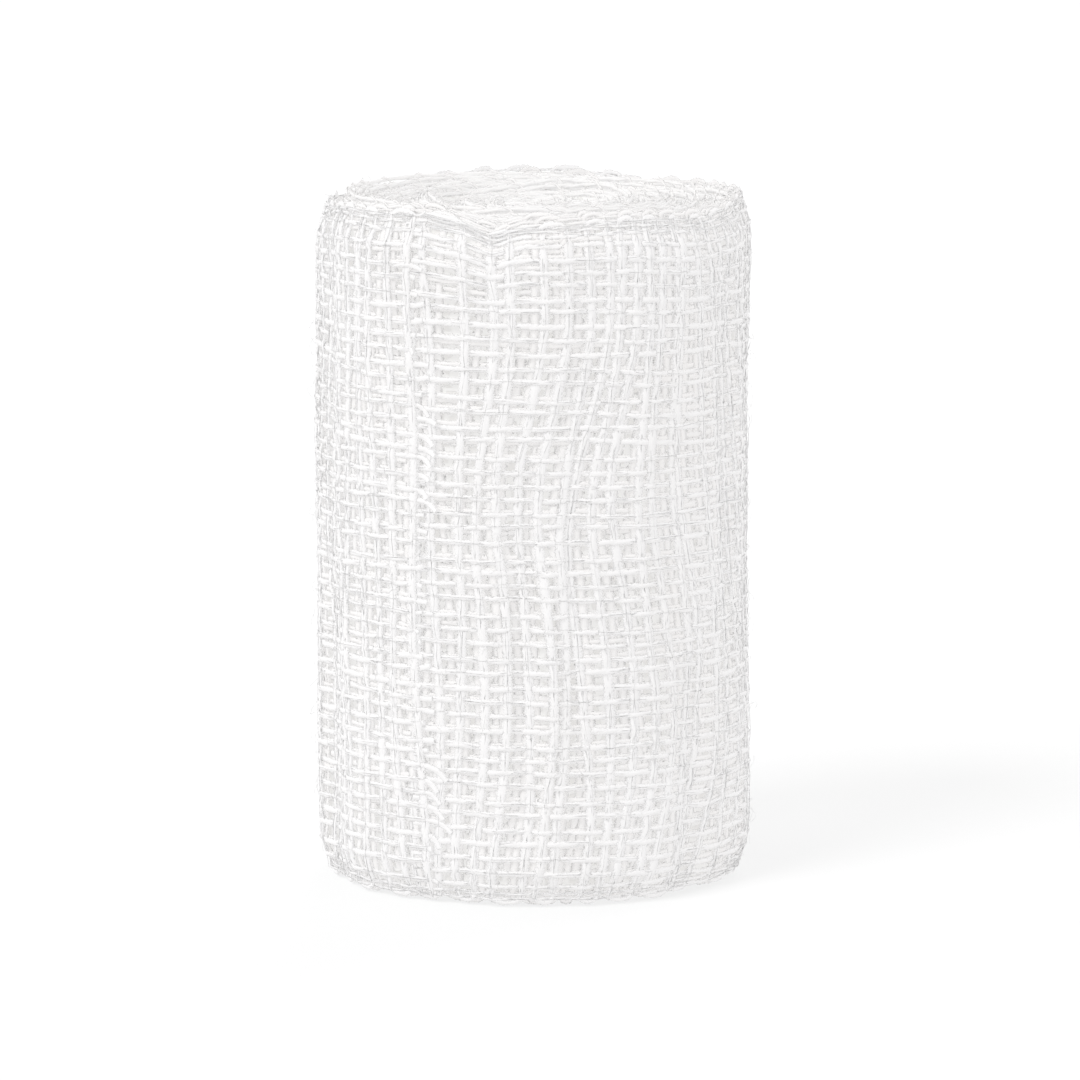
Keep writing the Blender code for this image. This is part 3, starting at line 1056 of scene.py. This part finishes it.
def inner_end(name, cotton, sides, seed):
    """The strip's inner end, which stands loose in the eye."""
    start = turns_at_steps(EDGE_STEP)[-1]
    _, first_radius, first_height = strip_place(np.array([start]), np.array([STRIP_WIDTH]))

    def place(turns, below):
        share = ease(turns / INNER_END_TURNS)
        angle = LOOSE_END_ANGLE - 360.0 * (start + turns)
        radius = first_radius + (INNER_END_RADIUS - first_radius) * share
        height = first_height - INNER_END_SINK * share - below
        return placed(angle, radius, height), outward(angle, 0.0)

    steps = np.linspace(0.0, INNER_END_TURNS, INNER_END_STEPS)
    paths = Paths()
    for row in range(INNER_END_ROWS):
        points, out = place(steps, FIRST_ROW_DOWN + row * EDGE_ROW_GAP)
        over = np.where((np.arange(INNER_END_STEPS) // STEPS_PER_CHECK + row) % 2 == 0, 1.0, -1.0)
        paths.add(points, out, over, EDGE_YARN.width)
    below = np.linspace(0.0, INNER_END_ROWS * EDGE_ROW_GAP, 2 * INNER_END_ROWS)
    for weft, turns in enumerate(steps[INNER_WEFT_STEPS]):
        points, out = place(np.full(below.shape, turns), below)
        over = np.where((np.arange(len(below)) // 2 + weft) % 2 == 0, -1.0, 1.0)
        paths.add(points, out, over, WEFT_LOOP.width)
    return spin(name, paths, cotton, INNER_END_YARN, sides, seed)


# --- What lies under them ---


def body_rings(angles):
    """Radius and height of the body's rings, from the floor of the eye over the rim to the foot."""
    under = TURN_GAP * (WOVEN_TURNS - wound_share(angles))
    plain = oval_radius(angles) - SIDE_CLEARANCE - under - BODY_UNDER_SIDE
    floor = STRIP_WIDTH - TOP_DISH - EYE_DEPTH
    rings = [(ring.radius, floor + ring.up) for ring in EYE_RINGS]
    for share in np.linspace(0.0, 1.0, BODY_END_RINGS):
        radius = EYE_MOUTH + (plain - EDGE_LEAN - EYE_MOUTH) * share
        rings.append((radius, top_height(radius, angles) - BODY_UNDER_TOP))
    highest = STRIP_WIDTH - BODY_UNDER_TOP - BODY_TOP_BEND
    for height in np.linspace(highest, BODY_FOOT_BEND, BODY_SIDE_ROWS):
        lift = edge_lift(angles) * ease((height - STRIP_WIDTH + EDGE_LIFT_DOWN) / EDGE_LIFT_DOWN)
        lifted = height + lift
        side = plain + BODY_PUCKER * pucker(angles, lifted) - crease_depth(angles, lifted)
        rings.append((side, lifted))
    rings += [((plain - EDGE_LEAN) * share, BODY_OVER_FOOT) for share in BODY_FOOT_RINGS]
    return floor, rings


def wound_body(cotton):
    """What shows through the woven turns and between the coiled edges: the wound form, closed."""
    angles = np.arange(0.0, 360.0, BODY_COLUMN)
    columns = len(angles)
    floor, rings = body_rings(angles)
    verts = [tuple(point) for radius, height in rings for point in placed(angles, radius, height)]
    top_pole, foot_pole = len(verts), len(verts) + 1
    verts += [(0.0, 0.0, floor), (0.0, 0.0, BODY_OVER_FOOT)]
    faces = []
    for first in range(0, (len(rings) - 1) * columns, columns):
        for column in range(columns):
            here, beside = first + column, first + (column + 1) % columns
            faces.append((here, here + columns, beside + columns, beside))
    last = (len(rings) - 1) * columns
    for column in range(columns):
        beside = (column + 1) % columns
        faces.append((column, beside, top_pole))
        faces.append((last + beside, last + column, foot_pole))
    mesh = bpy.data.meshes.new("wound_body")
    mesh.from_pydata(verts, [], faces)
    mesh.materials.append(cotton)
    mesh.polygons.foreach_set("use_smooth", [True] * len(faces))
    mesh.update()
    return in_scene("wound_body", mesh)


# --- Loose fibres and lint ---


def stray_fibres(name, turns, across, rng, cotton, seed):
    """Fibres that have come loose along the yarns of a turn, and soften them."""
    paths = Paths()
    for strand in range(STRAY_STRANDS):
        for one_turns, one_across in (*zip(turns.T, across.T), *zip(turns, across)):
            points, out = on_strip(one_turns, one_across, rng.uniform(0.0, STRAY_LIFT))
            paths.add(points, out, 0.0, STRAY_FIBRE.width, STRAND_STEP * strand + rng.random())
    return spin(name, paths, cotton, STRAY_FIBRE, sides=3, seed=seed)


def strides(way, length):
    """How far a bent fibre has gone at each step, in two directions."""
    return (np.cumsum(turned) * length / LINT_STEPS for turned in (np.cos(way), np.sin(way)))


def lint(name, rng, cotton, seed):
    """Single fibres that stand off the side and the top."""
    paths = Paths()
    steps = np.linspace(0.0, 1.0, LINT_STEPS)
    for _ in range(SIDE_FIBRES):
        start, across = rng.uniform(0.0, 1.0), rng.uniform(*SIDE_LINT_STARTS)
        length = rng.uniform(*SIDE_LINT_LENGTHS)
        heading = rng.uniform(0.0, 2.0 * math.pi)
        along, up = strides(heading + rng.normal(0.0, LINT_BEND) * steps, length)
        rise = rng.uniform(*SIDE_LINT_RISES) * length
        off = LINT_OFF + rise * np.sin(math.pi * steps * rng.uniform(*LINT_ARCH))
        places = np.clip(across + up, *SIDE_LINT_REACH)
        points, out = on_strip(start + along / CIRCUMFERENCE, places, off)
        paths.add(points, out, 0.0, LINT_FIBRE.width)
    ends = turns_at_steps(LINT_END_STEP)
    for _ in range(TOP_FIBRES):
        start = rng.choice(ends)
        points, _ = end_place(np.full(LINT_STEPS, start), np.zeros(LINT_STEPS), True)
        heading = rng.uniform(0.0, 2.0 * math.pi)
        length = rng.uniform(*TOP_LINT_LENGTHS)
        right, back = strides(heading + rng.normal(0.0, LINT_BEND) * steps, length)
        rise = rng.uniform(*TOP_LINT_RISES) * length
        up = rise * np.sin(math.pi * steps * rng.uniform(*LINT_ARCH))
        points += np.stack([right, back, up], axis=1)
        paths.add(points, np.array([0.0, 0.0, 1.0]), 0.0, LINT_FIBRE.width)
    return spin(name, paths, cotton, LINT_FIBRE, sides=3, seed=seed)


# --- The studio ---


def add_camera():
    """The camera, in front of the roll and looking a little down on it."""
    camera = bpy.data.cameras.new("camera")
    camera.sensor_width = CAMERA_SENSOR
    camera.lens = CAMERA_LENS
    camera.shift_x = CAMERA_SHIFT
    camera.clip_start = NEAREST_SEEN
    holder = in_scene("camera", camera)
    elevation = math.radians(CAMERA_ELEVATION)
    towards = np.array([0.0, -math.cos(elevation), math.sin(elevation)])
    holder.location = CAMERA_TARGET + CAMERA_DISTANCE * towards
    holder.rotation_euler = (math.radians(90.0) - elevation, 0.0, 0.0)
    bpy.context.scene.camera = holder


def add_sun(sun):
    """A broad, far light, from an azimuth that grows from the front to the right."""
    lamp = bpy.data.lights.new(sun.name, "SUN")
    lamp.energy = sun.strength
    lamp.angle = math.radians(sun.softness)
    holder = in_scene(sun.name, lamp)
    holder.rotation_euler = (math.radians(90.0 - sun.elevation), 0.0, math.radians(sun.azimuth))


def add_floor():
    """A plain pale floor, level with the foot."""
    mesh = bpy.data.meshes.new("floor")
    signs = ((-1, -1), (1, -1), (1, 1), (-1, 1))
    corners = [(x * FLOOR_HALF, y * FLOOR_HALF, 0.0) for x, y in signs]
    mesh.from_pydata(corners, [], [(0, 1, 2, 3)])
    floor = in_scene("floor", mesh)
    mesh.materials.append(matt("pale_floor", FLOOR_LOOK)[0])


def add_surroundings():
    """Even white light from all round, which fills the shade between the yarns."""
    world = bpy.data.worlds.new("studio")
    world.use_nodes = True
    Nodes(world.node_tree).give(world.node_tree.nodes["Background"], WORLD_LIGHT)
    world.light_settings.distance = FILL_DISTANCE
    world.light_settings.ao_factor = FILL_FACTOR
    scene = bpy.context.scene
    scene.world = world
    scene.cycles.use_fast_gi = True
    scene.cycles.fast_gi_method = "REPLACE"
    scene.cycles.ao_bounces = FILL_BOUNCES
    scene.cycles.ao_bounces_render = FILL_BOUNCES
    scene.cycles.transparent_max_bounces = CLEAR_BOUNCES
    scene.view_settings.view_transform = "Standard"
    scene.view_settings.exposure = EXPOSURE


add_camera()
add_floor()
add_surroundings()
for sun in SUNS:
    add_sun(sun)

# --- The pieces ---

# Each piece draws from the same random numbers, so their order matters.
rng = np.random.default_rng(RANDOM_SEED)
pattern = weave_pattern(rng, round_yarn_places())
weaves = [crossings(rng, number, pattern) for number in range(WOVEN_TURNS)]
pieces = [
    wound_body(PACKED_COTTON),
    woven_turn("outer_turn", 0, *weaves[0], rng, OUTER_COTTON, sides=6),
    woven_turn("second_turn", 1, *weaves[1], rng, SHADED_COTTON, sides=5),
    woven_turn("third_turn", 2, *weaves[2], rng, SHADED_COTTON, sides=4),
    edge_yarns("top_edge_yarns", True, 2, EDGE_STEP, sides=5, cotton=EDGE_COTTON, seed=11.0),
    weft_loops("top_weft_loops", True, 5, rng, SHADED_COTTON, seed=12.0),
    edge_yarns("foot_edge_yarns", False, 1, FOOT_EDGE_STEP, sides=4, cotton=EDGE_COTTON, seed=13.0),
    weft_loops("foot_weft_loops", False, 4, rng, SHADED_COTTON, seed=14.0),
    inner_end("inner_end", EDGE_COTTON, sides=5, seed=15.0),
    stray_fibres("stray_fibres", *weaves[0], rng, OUTER_COTTON, seed=41.0),
    lint("lint", rng, OUTER_COTTON, seed=5.0),
]
for piece in pieces:
    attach(piece, "root")
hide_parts("gauze_roll")
